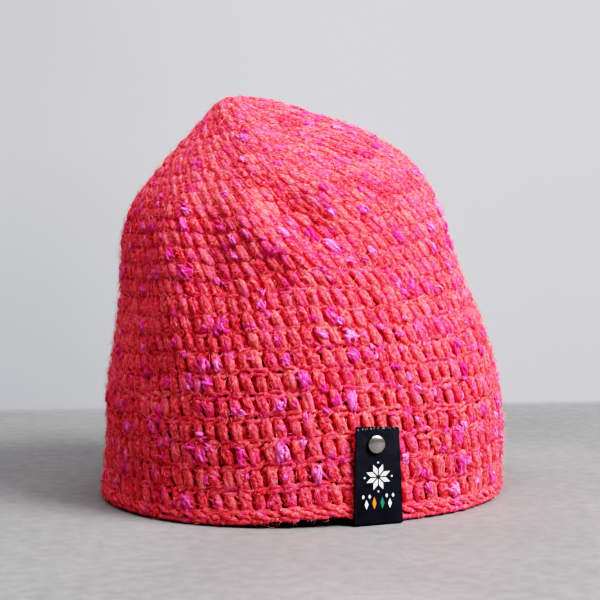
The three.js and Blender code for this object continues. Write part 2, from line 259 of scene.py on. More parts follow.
def makeWall():
    # painted plaster, as the world: lighter to the right, shaded at the left and towards its foot
    world = bpy.data.worlds.new("wall")
    world.use_nodes = True
    tree = world.node_tree
    tree.nodes.clear()
    place = addNode(tree, "ShaderNodeTexCoord")
    split = addNode(tree, "ShaderNodeSeparateXYZ", {0: (place, "Generated")})
    swing = addNode(tree, "ShaderNodeMapRange", {
        "Value": (split, 0), "From Min": -0.16, "From Max": 0.03,
    }, interpolation_type="SMOOTHSTEP")
    fall = addNode(tree, "ShaderNodeMapRange", {
        "Value": (split, 0), "From Min": 0.05, "From Max": 0.2, "To Min": 0.55, "To Max": 0.4,
    })
    low = addNode(tree, "ShaderNodeMapRange", {
        "Value": (split, 2), "From Min": -0.14, "From Max": 0.0, "To Min": -1.0, "To Max": 0.0,
    })
    plaster = addNode(tree, "ShaderNodeTexNoise", {
        "Vector": (place, "Generated"), "Scale": stage["wallMottle"], "Detail": 5.0,
    })
    cloudy, level, depth = [
        addNode(tree, "ShaderNodeMath", {0: start, 1: by, 2: plus}, operation="MULTIPLY_ADD")
        for start, by, plus in (((plaster, "Fac"), 0.16, -0.08), ((swing, 0), 0.45, (fall, 0)),
                                ((swing, 0), -0.3, 0.55))
    ]
    even = addNode(tree, "ShaderNodeMath", {
        0: (low, 0), 1: (depth, 0), 2: (level, 0),
    }, operation="MULTIPLY_ADD")
    mixed = addNode(tree, "ShaderNodeMath", {0: (even, 0), 1: (cloudy, 0)}, operation="ADD")
    colour = addNode(tree, "ShaderNodeMix", {
        "Factor": (mixed, 0), 6: linearColour(stage["wallFoot"]), 7: linearColour(stage["wallTop"]),
    }, data_type="RGBA")
    seen = addNode(tree, "ShaderNodeBackground", {"Color": (colour, 2), "Strength": 1.0})
    lit = addNode(tree, "ShaderNodeBackground", {"Color": (colour, 2), "Strength": stage["wallLight"]})
    ray = addNode(tree, "ShaderNodeLightPath")
    both = addNode(tree, "ShaderNodeMixShader", {0: (ray, "Is Camera Ray"), 1: (lit, 0), 2: (seen, 0)})
    addNode(tree, "ShaderNodeOutputWorld", {"Surface": (both, 0)})
    return world


bpy.context.scene.world = makeWall()

# soft window light from the right: turns from the front to the right and rises in degrees, the rest in metres
# and watts
softBoxes = [
    {"name": "windowLight", "turn": 57, "rise": 40, "far": 1.5, "size": 0.62, "power": 35.5},
    {"name": "topLight", "turn": 14, "rise": 72, "far": 1.4, "size": 1.0, "power": 11.4},
    {"name": "frontFill", "turn": -20, "rise": 15, "far": 1.8, "size": 1.2, "power": 0.5},
    {"name": "leftGlow", "turn": -130, "rise": 38, "far": 1.3, "size": 0.6, "power": 3.6},
]
lightAim = Vector((0, 0, 0.08))


def addSoftBox(name, turn, rise, far, size, power):
    data = bpy.data.lights.new(name, "AREA")
    data.shape = "SQUARE"
    data.size = size
    data.energy = power
    lamp = bpy.data.objects.new(name, data)
    bpy.context.scene.collection.objects.link(lamp)
    turn = math.radians(turn)
    rise = math.radians(rise)
    out = Vector((math.sin(turn) * math.cos(rise), -math.cos(turn) * math.cos(rise), math.sin(rise)))
    lamp.location = lightAim + out * far
    lamp.rotation_euler = out.to_track_quat("Z", "Y").to_euler()


for softBox in softBoxes:
    addSoftBox(**softBox)
report("camera and stage stand")


# the hat's surface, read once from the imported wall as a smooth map:
# a turn from the front towards the right, a length up from the rim, and a distance outwards

hatMap = {
    "turns": 288, "lowSteps": 60, "highSteps": 110, "lengths": 300, "smoothing": 5, "liftSmoothing": 8,
    "spine": (-0.005, 0.0), "spineTop": 0.095, "peak": (-0.023, 0.0, 0.176), "edgingMiddle": 0.0028,
    "castFrom": 0.3, "nearest": 0.05, "window": 0.12, "crowding": 1.2,
}


def nodeMesh(name):
    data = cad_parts[name].data
    points = np.empty(len(data.vertices) * 3)
    data.vertices.foreach_get("co", points)
    return points.reshape(-1, 3), [tuple(p.vertices) for p in data.polygons]


def rayMesh(*names):
    points = []
    faces = []
    for name in names:
        near, loops = nodeMesh(name)
        start = len(points)
        points.extend(map(tuple, near))
        faces.extend(tuple(i + start for i in loop) for loop in loops)
    return BVHTree.FromPolygons(points, faces)


def castNear(tree, start, way):
    # a ray that slips between two faces is sent again from a hair's breadth away
    for shift in (0, 0.00004, -0.00004, 0.0002, -0.0002, 0.0006, -0.0006):
        hit = tree.ray_cast(start + Vector((shift, -shift, shift)), way)[0]
        if hit:
            return hit
    return None


def smoothRound(values, times):
    # averages neighbours round the hat and up it, with the first and last level kept
    for _ in range(times):
        values = (np.roll(values, 1, 0) + 2 * values + np.roll(values, -1, 0)) / 4
        inner = (values[:, :-2] + 2 * values[:, 1:-1] + values[:, 2:]) / 4
        values = values.copy()
        values[:, 1:-1] = inner
    return values


def smoothLoop(values, times):
    return smoothRound(np.repeat(np.array(values)[:, None, None], 3, 1), times)[:, 0, 0]


def castWall(turns, lift):
    # points up the wall at each turn: level rays below the spine's top, then rays that swing to the peak
    tree = rayMesh("crochet_shell", "rim_edging")
    spine = Vector((*hatMap["spine"], hatMap["spineTop"]))
    peakWay = (Vector(hatMap["peak"]) - spine).normalized()
    rows = []
    for turn, foot in zip(turns, lift + hatMap["edgingMiddle"]):
        level = Vector((np.sin(turn), -np.cos(turn), 0))
        row = []
        for k in range(hatMap["lowSteps"]):
            centre = Vector((spine.x, spine.y, foot + (spine.z - foot) * k / hatMap["lowSteps"]))
            hit = tree.ray_cast(centre + level * hatMap["castFrom"], -level)[0]
            row.append(hit if hit and (hit - centre).dot(level) > hatMap["nearest"] else None)
        for k in range(hatMap["highSteps"]):
            share = k / (hatMap["highSteps"] - 1)
            way = level.slerp(peakWay, share) if share < 1 else peakWay
            row.append(tree.ray_cast(spine + way * hatMap["castFrom"], -way)[0])
        known = [k for k, hit in enumerate(row) if hit is not None]
        points = np.array([row[k] for k in known])
        rows.append(np.stack([np.interp(range(len(row)), known, points[:, c]) for c in range(3)], 1))
    return np.array(rows), np.array(peakWay)


def readHat():
    turns = np.arange(hatMap["turns"]) / hatMap["turns"] * fullTurn
    edge, _ = nodeMesh("rim_edging")
    edgeTurns = np.arctan2(edge[:, 0] - hatMap["spine"][0], -edge[:, 1])
    lift = np.array([edge[turnApart(edgeTurns, t) < hatMap["window"]][:, 2].min() for t in turns])
    rows, peakWay = castWall(turns, lift)
    surface = smoothRound(rows, hatMap["smoothing"])
    surface[:, -1] = surface[:, -1].mean(0)
    foot = surface[:, :1].copy()
    foot[:, 0, 2] = smoothLoop(lift, hatMap["liftSmoothing"])
    surface = np.concatenate([foot, surface], 1)
    steps = np.linalg.norm(np.diff(surface, axis=1), axis=2)
    lengths = np.concatenate([np.zeros((len(turns), 1)), np.cumsum(steps, 1)], 1)
    totals = lengths[:, -1]
    middle = totals.mean()
    places = np.linspace(0, middle, hatMap["lengths"])
    grid = np.empty((len(turns), len(places), 3))
    for i in range(len(turns)):
        # where the wall is longer than the mean, the rounds spread out towards the crown
        own = places + (totals[i] - middle) * (places / middle) ** hatMap["crowding"]
        for c in range(3):
            grid[i, :, c] = np.interp(own, lengths[i], surface[i, :, c])
    around = np.roll(grid, -1, 0) - np.roll(grid, 1, 0)
    outward = np.cross(around, np.gradient(grid, axis=1))
    outward[:, -2:] = peakWay
    outward = unit(smoothRound(outward / np.linalg.norm(outward, axis=2, keepdims=True), 4))
    return grid, outward, middle


surfaceGrid, outwardGrid, hatLength = readHat()


def sampleGrid(grid, turn, length):
    u = (turn / fullTurn % 1) * hatMap["turns"]
    v = np.clip(length / hatLength, 0, 1) * (hatMap["lengths"] - 1)
    i = np.floor(u).astype(int) % hatMap["turns"]
    j = np.minimum(np.floor(v).astype(int), hatMap["lengths"] - 2)
    s = (u - np.floor(u))[..., None]
    t = (v - j)[..., None]
    n = (i + 1) % hatMap["turns"]
    return (grid[i, j] * (1 - s) * (1 - t) + grid[n, j] * s * (1 - t)
            + grid[i, j + 1] * (1 - s) * t + grid[n, j + 1] * s * t)


def onHat(turn, length, out):
    point = sampleGrid(surfaceGrid, turn, length)
    away = unit(sampleGrid(outwardGrid, turn, length))
    return point + away * np.asarray(out)[..., None], away


def roundAt(length):
    turns = np.linspace(0, fullTurn, hatMap["turns"] + 1)
    ring = sampleGrid(surfaceGrid, turns[:-1], np.full(hatMap["turns"], length))
    steps = np.linalg.norm(np.roll(ring, -1, 0) - ring, axis=1)
    return np.concatenate([[0], np.cumsum(steps)]), turns


report("hat surface read, %.0f mm from rim to crown" % (hatLength / mm))


# yarn: every strand of the crochet is a closed tube along a short path

yarn = {"twist": 0.5, "startSpread": 5}


class yarnBag:
    # gathers strands until they are turned into one piece
    def __init__(self):
        self.points = []
        self.quads = []
        self.caps = []
        self.uvs = []
        self.tints = []
        self.shades = []
        self.count = 0

    def addStrands(self, paths, away, radii, sides, tints, shades, rough=0.0):
        # paths and away are (strands, steps, 3), radii (strands, steps)
        n, steps, _ = paths.shape
        along = unit(np.gradient(paths, axis=1))
        side = unit(np.cross(away, along))
        up = np.cross(along, side)
        angles = np.arange(sides) / sides * fullTurn
        radii = radii[:, :, None] * (1 + rough * dice.uniform(-1, 1, (n, steps, sides)))
        ring = (paths[:, :, None] + side[:, :, None] * (np.cos(angles) * radii)[..., None]
                + up[:, :, None] * (np.sin(angles) * radii)[..., None])
        self.points.append(ring.reshape(-1, 3))
        base = self.count + np.arange(n)[:, None, None] * steps * sides
        k = base + np.arange(steps - 1)[None, :, None] * sides
        s = np.arange(sides)[None, None, :]
        nextSide = (s + 1) % sides
        quads = np.stack([k + s, k + nextSide, k + sides + nextSide, k + sides + s], -1)
        self.quads.append(quads.reshape(-1, 4))
        self.caps.append(base[:, 0] + np.arange(sides)[::-1])
        self.caps.append(base[:, 0] + (steps - 1) * sides + np.arange(sides))
        self.addUv(paths, radii, sides)
        self.tints.append(np.repeat(tints, steps * sides))
        self.shades.append(np.repeat(shades, steps * sides))
        self.count += n * steps * sides

    def addUv(self, paths, radii, sides):
        # metres along a strand and round it, from a start of its own, turned by the twist
        n = len(paths)
        steps = np.linalg.norm(np.diff(paths, axis=1), axis=2)
        walked = np.concatenate([np.zeros((n, 1)), np.cumsum(steps, 1)], 1)
        u = (walked + dice.uniform(0, yarn["startSpread"], (n, 1)))[:, :, None] * np.ones(sides + 1)
        girth = fullTurn * radii.mean(2)
        v = girth[:, :, None] * np.linspace(0, 1, sides + 1) + dice.uniform(0, yarn["startSpread"], (n, 1, 1))
        uv = np.stack([u, v + u * yarn["twist"]], -1)
        corner = np.stack([uv[:, :-1, :-1], uv[:, :-1, 1:], uv[:, 1:, 1:], uv[:, 1:, :-1]], 3)
        self.uvs.append(corner.reshape(-1, 2))

    def triangles(self):
        return sum(len(q) * 2 for q in self.quads) + sum(len(c) * (c.shape[1] - 2) for c in self.caps)

    def makePiece(self, name, material):
        caps = [row for group in self.caps for row in group.tolist()]
        faces = np.concatenate(self.quads).tolist() + caps
        piece = meshPiece(name, np.concatenate(self.points).tolist(), faces, material)
        mesh = piece.data
        layer = mesh.uv_layers.new(name="yarn")
        uv = np.zeros((len(mesh.loops), 2))
        flatUv = np.concatenate(self.uvs)
        uv[:len(flatUv)] = flatUv
        layer.data.foreach_set("uv", uv.ravel())
        for attribute, values in (("tint", self.tints), ("shade", self.shades)):
            stored = mesh.attributes.new(attribute, "FLOAT", "POINT")
            stored.data.foreach_set("value", np.concatenate(values).astype(np.float32))
        return piece


# the darkest stop is both the darkest fibres and painted shade: the back strands of loose rounds are pushed
# down to it where they lie in the slits
wool = {
    "darkestFibreAndSlitShade": "#ac1030", "deep": "#d02f48", "coral": "#f0555f", "salmon": "#f98084",
    "pinkDeep": "#d62c6c", "hotPink": "#f45086", "palePink": "#fa769a",
    "fibreWide": 0.42, "fibreLong": 1.5, "contrast": 2.1,
    "crossTurn": 0.9, "crossSize": 0.8, "crossContrast": 1.5,
    "patchGrain": 1.43, "patch": 1.3, "blushGrain": 4.35, "blush": 0.95,
    "relief": 0.3, "roughness": 0.95, "glow": 0.35, "glowDepth": 1.2,
}


def woolMaterial(name):
    # hairy roving wool: matt and slightly translucent, its fibres drawn as short streaks along the yarn,
    # nearly half a millimetre wide so that they show
    material, tree = newMaterial(name)
    uv = addNode(tree, "ShaderNodeUVMap", uv_map="yarn")
    streaks = []
    for turned, size, contrast in ((0.0, 1.0, wool["contrast"]),
                                   (wool["crossTurn"], wool["crossSize"], wool["crossContrast"])):
        scaled = addNode(tree, "ShaderNodeMapping", {
            "Vector": (uv, 0), "Rotation": (0, 0, turned),
            "Scale": (perMetre(wool["fibreLong"] * size), perMetre(wool["fibreWide"] * size), 1),
        })
        fibre = addNode(tree, "ShaderNodeTexNoise", {"Vector": (scaled, 0), "Scale": 1.0, "Detail": 2.0})
        streaks.append(addNode(tree, "ShaderNodeMath", {
            0: (fibre, "Fac"), 1: contrast, 2: -contrast / 2,
        }, operation="MULTIPLY_ADD"))
    fibres = addNode(tree, "ShaderNodeMath", {0: (streaks[0], 0), 1: (streaks[1], 0)}, operation="ADD")
    place = addNode(tree, "ShaderNodeTexCoord")
    patch, blush = [
        addNode(tree, "ShaderNodeTexNoise", {
            "Vector": (place, "Object"), "Scale": perMetre(wool[grain]), "Detail": detail,
        }) for grain, detail in (("patchGrain", 4.0), ("blushGrain", 3.0))
    ]
    both = addNode(tree, "ShaderNodeMath", {
        0: (patch, "Fac"), 1: wool["patch"], 2: (fibres, 0),
    }, operation="MULTIPLY_ADD")
    shade = addNode(tree, "ShaderNodeAttribute", attribute_name="shade")
    shifted = addNode(tree, "ShaderNodeMath", {
        0: (shade, "Fac"), 1: 0.5 - wool["patch"] / 2,
    }, operation="ADD")
    tone = addNode(tree, "ShaderNodeMath", {0: (both, 0), 1: (shifted, 0)}, operation="ADD")
    corals = addNode(tree, "ShaderNodeValToRGB", {0: (tone, 0)})
    setRamp(corals, [(0.0, linearColour(wool["darkestFibreAndSlitShade"])), (0.15, linearColour(wool["deep"])),
                     (0.5, linearColour(wool["coral"])), (1.0, linearColour(wool["salmon"]))])
    pinks = addNode(tree, "ShaderNodeValToRGB", {0: (tone, 0)})
    setRamp(pinks, [(0.0, linearColour(wool["pinkDeep"])), (0.45, linearColour(wool["hotPink"])),
                    (1.0, linearColour(wool["palePink"]))])
    blushed = addNode(tree, "ShaderNodeMapRange", {
        "Value": (blush, "Fac"), "From Min": 0.51, "From Max": 0.7, "To Min": -0.05, "To Max": wool["blush"],
    })
    tint = addNode(tree, "ShaderNodeAttribute", attribute_name="tint")
    tinted = addNode(tree, "ShaderNodeMath", {
        0: (tint, "Fac"), 1: (blushed, 0),
    }, operation="ADD", use_clamp=True)
    colour = addNode(tree, "ShaderNodeMix", {
        "Factor": (tinted, 0), 6: (corals, 0), 7: (pinks, 0),
    }, data_type="RGBA")
    bump = addNode(tree, "ShaderNodeBump", {
        "Height": (both, 0), "Strength": 0.7, "Distance": wool["relief"] * mm,
    })
    shader = addNode(tree, "ShaderNodeBsdfPrincipled", {
        "Base Color": (colour, 2), "Normal": (bump, 0), "Roughness": wool["roughness"],
        "Specular IOR Level": 0.02, "Subsurface Weight": wool["glow"],
        "Subsurface Scale": wool["glowDepth"] * mm,
    })
    shader.inputs["Subsurface Radius"].default_value = (1.0, 0.2, 0.25)  # red light goes deepest
    addNode(tree, "ShaderNodeOutputMaterial", {"Surface": (shader, 0)})
    return material


yarnMaterial = woolMaterial("rovingWool")


# rounds of stitches: fat leaning posts, two strands each, with a strand behind them, a wrap across them and
# a chain of two loops on top. Up and across a strand's numbers are shares of its stitch. Radii and distances
# out are in mm. Most pairs are for a loose round at the rim and a tight one at the crown, and the pairs of
# radiusSpread, tint and strength are ranges

stitch = {
    "firstRound": 5.6, "crownGap": 3, "height": (9.75, 5.8), "pitch": (6.4, 4.7), "widest": 1.05,
    "measureAt": 0.45, "drift": -0.25, "driftSpread": 0.1,
    "looseFrom": 1.3, "looseFall": 1.9, "tightest": 0.05,
    "jitter": 0.075, "sizeSpread": 0.1, "shadeSpread": 0.09, "rough": 0.19,
    "sway": 0.7, "swayFrom": 30,
}
post = {
    "lean": (-0.42, -0.8), "leanSpread": 0.1, "radius": (1.55, 1.85), "ends": (0.72, 0.84), "apart": 0.125,
    "foot": (-0.1, -0.15), "head": (0.86, 0.91), "out": -1.6, "sink": (0.75, 0.225),
    "sides": (7, 6), "steps": (6, 5), "tint": (0.3, 1.2), "rightShade": 0.03,
}
# the shade pair darkens the back strands of loose rounds at the rim: painted shade, where they lie deep
# behind the posts
backStrand = {
    "radius": 1.6, "radiusSpread": (0.85, 1.3), "foot": -0.05, "tall": 0.85, "out": (-3.9, -1.75),
    "sides": 5, "steps": 4, "tint": 0.3, "shade": (-0.5, 0.0),
}
wrap = {
    "radius": 1.15, "height": 0.44, "slope": 0.3, "leftShare": 0.75, "reach": 0.33, "out": -1.05, "sink": 1.6,
    "sides": 5, "steps": 5, "shade": 0.02,
}
loop = {
    "radius": (1.15, 0.92), "out": (-1.55, -1.9), "sink": 0.7, "left": -0.62, "wide": 1.2, "tiltSpread": 0.13,
    "sides": 5, "steps": 5, "shade": -0.03,
}
loopBends = [
    {"start": 0.74, "middle": 0.6, "end": 0.94},
    {"start": 0.86, "middle": 1.1, "end": 0.84},
]
tintRun = {"run": 1.6, "from": 0.68, "steep": 4, "strength": (0.1, 0.8)}
roundGroups = [("lower_rounds", 5), ("middle_rounds", 5), ("upper_rounds", 7), ("crown_rounds", 30)]


def blended(pair, loose):
    return pair[0] * loose + pair[1] * (1 - loose)


def shaken(values, much):
    return values + dice.uniform(-much, much, values.shape)


def strandSteps(steps):
    # shares along a strand, and how far it swells there between its two ends
    t = np.linspace(0, 1, steps)
    return t, np.sin(np.pi * t)


def runningNoise(count, run):
    knots = dice.uniform(0, 1, int(count / run) + 3)
    return np.interp(np.arange(count) / run, np.arange(len(knots)), knots)


class stitchRound:
    # one round: what its strands share, and each kind of strand
    def __init__(self, bag, length, height, count, phase, loose):
        self.bag = bag
        self.length = length
        self.height = height
        self.count = count
        self.phase = phase
        self.loose = loose
        self.walked, self.turns = roundAt(min(length + height * stitch["measureAt"], hatLength * 0.999))
        pinker = (runningNoise(count, tintRun["run"]) - tintRun["from"]) * tintRun["steep"]
        self.tints = np.clip(pinker, 0, 1) * dice.uniform(*tintRun["strength"], count)
        self.shades = dice.normal(0, stitch["shadeSpread"], count)
        self.wobble = dice.uniform(-1, 1, (count, 12)) * stitch["jitter"]
        self.sizes = dice.normal(1, stitch["sizeSpread"], (count, 5))
        self.leans = blended(post["lean"], loose) + dice.normal(0, post["leanSpread"], (count, 1))
        self.squeeze = min(self.walked[-1] / count / (stitch["pitch"][0] * mm), stitch["widest"])

    def off(self, column, much=1):
        return self.wobble[:, column:column + 1] * much

    def size(self, column):
        return self.sizes[:, column:column + 1]

    def lay(self, across, up, out, radii, sides, tints, shades):
        share = (np.arange(self.count)[:, None] + across + self.phase) / self.count % 1
        turn = np.interp(share * self.walked[-1], self.walked, self.turns)
        sway = np.sin(3 * turn + 40 * self.length) + 0.7 * np.sin(5 * turn - 60 * self.length + 1)
        sway = sway * stitch["sway"] * mm * min(1, self.length / (stitch["swayFrom"] * mm))
        path, away = onHat(turn, self.length + up * self.height + sway, out * mm)
        self.bag.addStrands(path, away, radii * mm, sides, tints, shades, rough=stitch["rough"])

    def layPosts(self):
        tight = self.loose <= 0.5
        t, swell = strandSteps(post["steps"][tight])
        foot, head, sink, ends, radius = [
            blended(post[name], self.loose) for name in ("foot", "head", "sink", "ends", "radius")
        ]
        for j, sign in enumerate((-1, 1)):
            up = foot + (head - foot) * t + self.off(j, 0.6)
            across = sign * post["apart"] * (0.7 + 0.35 * swell) + self.leans * (t - 0.5)
            across = shaken(across + self.off(2), 0.025)
            out = shaken(post["out"] - sink * (1 - swell) + self.off(4 + j, 4), 0.12)
            radii = radius * self.squeeze * (ends + (1 - ends) * swell) * self.size(j)
            tints = self.tints * dice.uniform(*post["tint"], self.count)
            shades = self.shades + j * post["rightShade"]
            self.lay(across, up, out, radii, post["sides"][tight], tints, shades)

    def layBacks(self):
        t, _ = strandSteps(backStrand["steps"])
        up = backStrand["foot"] + backStrand["tall"] * t + self.off(1)
        across = 0.5 + self.leans * (t - 0.5) + self.off(3, 1.6)
        out = shaken(np.full((self.count, len(t)), blended(backStrand["out"], self.loose)), 0.2)
        spread = dice.uniform(*backStrand["radiusSpread"], (self.count, 1))
        radii = backStrand["radius"] * self.squeeze * spread * np.ones(len(t))
        # painted shade: the back strands of loose rounds are darkened, as they lie deep in the slits
        shades = self.shades + blended(backStrand["shade"], self.loose)
        self.lay(across, up, out, radii, backStrand["sides"], self.tints * backStrand["tint"], shades)

    def layWraps(self):
        t, swell = strandSteps(wrap["steps"])
        slope = np.where(dice.uniform(0, 1, (self.count, 1)) < wrap["leftShare"], 1, -1)
        up = wrap["height"] + slope * (wrap["slope"] + self.off(8)) * (0.5 - t) + self.off(9, 2.4)
        across = wrap["reach"] * (2 * t - 1) - self.leans * 0.1 + self.off(2)
        out = wrap["out"] - wrap["sink"] * (1 - swell) ** 1.5 + self.off(10, 6)
        radii = wrap["radius"] * self.squeeze * (0.7 + 0.3 * swell) * self.size(4)
        self.lay(across, up, out, radii, wrap["sides"], self.tints, self.shades + wrap["shade"])

    def layLoops(self):
        t, swell = strandSteps(loop["steps"])
        radius = blended(loop["radius"], self.loose)
        front = blended(loop["out"], self.loose)
        for j, bend in enumerate(loopBends):
            up = bend["start"] * (1 - t) ** 2 + 2 * bend["middle"] * t * (1 - t) + bend["end"] * t ** 2
            up = up + self.off(6 + j, 1.3) + dice.normal(0, loop["tiltSpread"], (self.count, 1)) * (t - 0.5)
            across = shaken(loop["left"] + loop["wide"] * t + self.off(2), 0.02)
            out = shaken(front - loop["sink"] * (1 - swell) + self.off(11, 5), 0.1)
            radii = radius * (0.75 + 0.25 * swell) * self.size(2 + j)
            self.lay(across, up, out, radii, loop["sides"], self.tints, self.shades + loop["shade"])


stitchPlaces = []


def layRounds(bag, many, length, phase):
    # rounds one above the other, until the crown is reached; returns where the next one starts
    for _ in range(many):
        if length > hatLength - stitch["crownGap"] * mm:
            break
        risen = length / hatLength
        loose = float(np.clip(stitch["looseFrom"] - stitch["looseFall"] * risen, stitch["tightest"], 1))
        height = blended(stitch["height"], loose) * mm
        girth = roundAt(length + height * stitch["measureAt"])[0][-1]
        count = max(6, int(round(girth / (blended(stitch["pitch"], 1 - risen) * mm))))
        laid = stitchRound(bag, length, height, count, phase, loose)
        laid.layPosts()
        laid.layBacks()
        if loose > 0.5:
            laid.layWraps()
        laid.layLoops()
        stitchPlaces.append((length, height, count, phase))
        phase += stitch["drift"] + dice.uniform(-stitch["driftSpread"], stitch["driftSpread"])
        length += height
    return length, phase


wallPieces = []
nextStart = (stitch["firstRound"] * mm, 0.0)
for groupName, groupRounds in roundGroups:
    groupBag = yarnBag()
    nextStart = layRounds(groupBag, groupRounds, *nextStart)
    wallPieces.append(groupBag.makePiece(groupName, yarnMaterial))
    report("%s: %d triangles" % (groupName, groupBag.triangles()))
for wallPiece in wallPieces:
    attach(wallPiece, "root")
    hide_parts("crochet_shell")


# edging round: a lying chain of slanted legs along the rim. Places across are shares of a stitch, the rest is
# in mm

edging = {
    "pitch": 6.4, "measureAt": 3, "radius": 1.35, "ends": 0.74, "sink": 0.9, "sides": 7, "steps": 6,
    "rough": 0.2, "jitter": 0.05, "shadeSpread": 0.03, "shaken": 0.2,
    "peepTurn": 5, "peepHalf": 16,
}
edgingLegs = [
    {"left": -0.75, "right": 0.62, "high": 5.2, "low": 1.9, "out": -0.9, "grounded": False},
    {"left": -0.8, "right": 0.5, "high": 2.3, "low": 1.1, "out": -1.2, "grounded": True},
    {"left": -0.5, "right": 0.7, "high": 4.6, "low": 5.6, "out": -1.4, "grounded": False},
]


def layEdging(bag):
    walked, turns = roundAt(edging["measureAt"] * mm)
    count = int(round(walked[-1] / (edging["pitch"] * mm)))
    tints = np.clip(runningNoise(count, 2) * 4 - 2.8, 0, 1) * 0.5
    shades = dice.normal(0, edging["shadeSpread"], count)
    wobble = dice.uniform(-1, 1, (count, 6)) * edging["jitter"]
    t, swell = strandSteps(edging["steps"])
    for j, leg in enumerate(edgingLegs):
        across = leg["left"] + (leg["right"] - leg["left"]) * t + wobble[:, j:j + 1]
        up = leg["high"] + (leg["low"] - leg["high"]) * t + wobble[:, j + 1:j + 2] * 9
        turn = np.interp((np.arange(count)[:, None] + across) / count % 1 * walked[-1], walked, turns)
        out = leg["out"] - edging["sink"] * (1 - swell) + wobble[:, 4:5] * 4
        path, away = onHat(turn, up * mm, out * mm)
        radii = edging["radius"] * (edging["ends"] + (1 - edging["ends"]) * swell) * mm
        radii = radii * (1 + wobble[:, 5:6] * 3.5)
        if leg["grounded"]:
            # this leg comes down to the bench, but for where the lining peeps out beside the tab
            apart = turnApart(turn, math.radians(edging["peepTurn"]))
            bare = np.clip(apart / math.radians(edging["peepHalf"]) - 0.6, 0, 1)
            path[..., 2] -= bare * np.maximum(path[..., 2] - radii - 0.2 * mm, 0)
        path += dice.uniform(-1, 1, path.shape) * edging["shaken"] * mm
        path[..., 2] = np.maximum(path[..., 2], radii * 1.2)
        bag.addStrands(path, away, radii, edging["sides"], tints, shades, rough=edging["rough"])


edgingBag = yarnBag()
layEdging(edgingBag)
edgingChain = edgingBag.makePiece("edging_chain", yarnMaterial)
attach(edgingChain, "root")
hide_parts("rim_edging")
report("edging chain: %d triangles" % edgingBag.triangles())


def closedRing(name, rows, material):
    # rows: (turns, levels, 3), closed round and from the last level back to the first
    turns, levels, _ = rows.shape
    i = np.arange(turns)[:, None] * levels
    n = (np.arange(turns)[:, None] + 1) % turns * levels
    k = np.arange(levels)[None, :]
    m = (k + 1) % levels
    faces = np.stack([i + k, n + k, n + m, i + m], -1).reshape(-1, 4)
    return meshPiece(name, rows.reshape(-1, 3).tolist(), faces.tolist(), material)


# backs of the stitches: the wall's inner loops, seen through the slits and from inside, in mm

# the inner loops' dark and red are the yarn darkened: painted shade inside the wall
inner = {
    "turns": 132, "levels": 54, "foot": 76.0, "outside": -3.1, "inside": -4.7, "relief": 0.45,
    "grain": 1.43, "dark": "#7e0a1e", "red": "#c8283f",
}


def innerLoops(material):
    turns = np.arange(inner["turns"]) / inner["turns"] * fullTurn
    lengths = np.linspace(inner["foot"] * mm, hatLength * 0.996, inner["levels"])
    u, v = np.meshgrid(turns, lengths, indexing="ij")
    waves = np.cos((v / mm - stitch["firstRound"]) / stitch["height"][0] * fullTurn)
    outer, _ = onHat(u, v, (inner["outside"] + inner["relief"] * 0.5 * waves) * mm)
    under, _ = onHat(u, v, (inner["inside"] + inner["relief"] * waves) * mm)
    # each face ends in one point under the crown
    outer[:, -1] = outer[:, -1].mean(0)
    under[:, -1] = under[:, -1].mean(0)
    return closedRing("inner_loops", np.concatenate([outer, under[:, ::-1]], 1), material)


# the same roving seen from inside: matt, with the wall's own shade painted into its darker reds
innerYarn = mottledMaterial("rovingWoolInsideShadePainted", inner["grain"], 3.0, [
    (0.35, linearColour(inner["dark"])), (0.65, linearColour(inner["red"])),
], {"Roughness": 0.95, "Specular IOR Level": 0.1}, bump=(0.8, 0.6))
innerPiece = innerLoops(innerYarn)
mergeDoubles(innerPiece, 0.02)
turnOutwards(innerPiece)
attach(innerPiece, "root")
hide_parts("crochet_shell")
report("inner loops laid")


# where the tab lies: nothing fluffy grows under it

tabPlace = {"turn": 19.5, "half": 11.5, "top": 42.5}
tabTurn = math.radians(tabPlace["turn"])
tabOut = np.array([math.sin(tabTurn), -math.cos(tabTurn), 0.0])
tabSide = np.array([math.cos(tabTurn), math.sin(tabTurn), 0.0])
tabPoints, _ = nodeMesh("label_tab")
tabMiddle = float((tabPoints @ tabSide).mean())


def underTab(points):
    beside = np.abs(points @ tabSide - tabMiddle) < tabPlace["half"] * mm
    return beside & (points @ tabOut > 0.05) & (points[..., 2] < tabPlace["top"] * mm)


# slubs: little tufts of pink and pale violet fleece spun into the yarn

slub = {
    "count": 620, "grownShare": 0.25, "small": (0.65, 1.25), "grown": (1.15, 1.7), "steps": 4,
    "fibreLong": 1.5, "fibreWide": 0.4, "strands": 7, "radius": (0.3, 0.7), "long": (1.8, 4.4),
    "out": -0.35, "relief": 0.4,
    "magenta": "#d42878", "pink": "#f0509c", "violet": "#f082c0",
}


